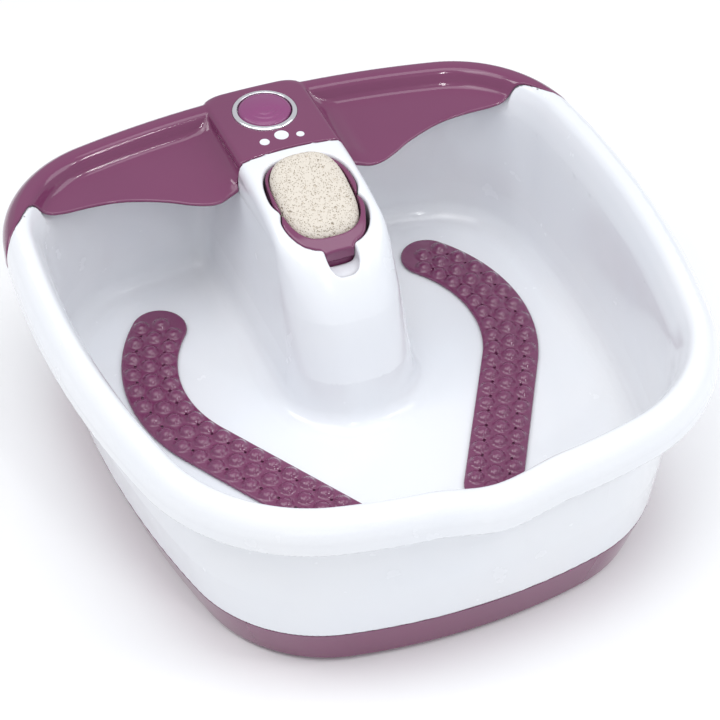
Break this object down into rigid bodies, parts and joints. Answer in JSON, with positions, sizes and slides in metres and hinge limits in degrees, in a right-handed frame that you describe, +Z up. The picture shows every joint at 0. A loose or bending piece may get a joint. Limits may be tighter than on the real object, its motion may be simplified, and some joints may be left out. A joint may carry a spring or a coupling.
{
  "type": "foot spa basin",
  "caption": "Heated bubble foot spa: white basin with rolled rim, purple splash guard and base, toe button, pumice stone tower and massage node strips.",
  "frame": {"origin": "on the floor under the middle of the basin's plan, at the undersides of the rubber feet", "axes": "+Z up, +Y to the back where the console is, +X to the right of a person looking from the front"},
  "size_m": [0.3902, 0.3954, 0.1566],
  "materials": {
    "white_plastic": "gloss",
    "purple_plastic": "gloss",
    "button_plastic": "satin",
    "bright_ring": "polished",
    "pumice": "porous",
    "black_rubber": "matte",
    "seal_rubber": "matte",
    "spring_steel": "bright",
    "screw_steel": "zinc plated",
    "motor_steel": "zinc plated",
    "aluminium_sheet": "mill finish",
    "dark_plastic": "matte",
    "grey_plastic": "matte",
    "clear_hose": "satin",
    "filter_foam": "open cell",
    "bronze": "sintered",
    "copper": "bare",
    "ferrite": "sintered",
    "board_green": "lacquered",
    "lead_jacket": "satin"
  },
  "bodies": {
    "basin": {"basin_tub": "white_plastic", "splash_guard": "purple_plastic", "console_gasket": "seal_rubber", "button_ring": "bright_ring", "button_spring": "spring_steel", "switch_body": "dark_plastic", "guard_screws": "screw_steel", "deck_grommet": "black_rubber", "base_pan": "purple_plastic", "rubber_feet": "black_rubber", "base_screws": "screw_steel", "base_gasket": "seal_rubber", "cord_gland": "black_rubber", "cord_clamp": "grey_plastic", "terminal_block": "grey_plastic", "bubble_strip_right": "purple_plastic", "bubble_strip_left": "purple_plastic", "strip_gasket_right": "seal_rubber", "strip_gasket_left": "seal_rubber", "air_channel_right": "grey_plastic", "air_channel_left": "grey_plastic", "air_manifold": "grey_plastic", "check_valve": "dark_plastic", "air_hoses": "clear_hose", "blower_housing": "dark_plastic", "blower_cover": "dark_plastic", "intake_filter": "filter_foam", "blower_screws": "screw_steel", "motor_can": "motor_steel", "motor_end_cap": "dark_plastic", "motor_bushes": "bronze", "motor_magnets": "ferrite", "motor_brushes": "ferrite", "motor_isolator": "black_rubber", "heater_plate": "aluminium_sheet", "heater_element": "aluminium_sheet", "thermostat": "motor_steel", "thermal_fuse": "motor_steel", "control_board": "board_green", "board_components": "dark_plastic", "motor_leads": "lead_jacket", "switch_leads": "lead_jacket", "heater_leads": "lead_jacket", "mains_leads": "lead_jacket"},
    "button": {"toe_button": "button_plastic"},
    "switch_actuator": {"switch_plunger": "grey_plastic"},
    "blower_rotor": {"impeller": "grey_plastic", "motor_shaft": "motor_steel", "armature_core": "motor_steel", "commutator": "copper"},
    "stone": {"stone_holder": "purple_plastic", "pumice_stone": "pumice"}
  },
  "joints": [
    {"name": "button_press", "type": "slide", "parent": "basin", "child": "button", "axis": [0, 0, -1], "range_m": [0, 0.003], "stiffness_N_per_m": 900, "springref_m": -0.001, "deforming": ["button_spring"]},
    {"name": "switch_press", "type": "slide", "parent": "basin", "child": "switch_actuator", "axis": [0, 0, -1], "range_m": [0, 0.003]},
    {"name": "impeller_spin", "type": "hinge", "parent": "basin", "child": "blower_rotor", "pos_m": [0, 0.105, 0.018], "axis": [0, 0, 1], "continuous": true},
    {"name": "stone_lift", "type": "slide", "parent": "basin", "child": "stone", "axis": [0, 0, 1], "range_m": [0, 0.06]}
  ],
  "couplings": [
    {"joint": "switch_press", "follows": "button_press", "ratio": 1}
  ]
}
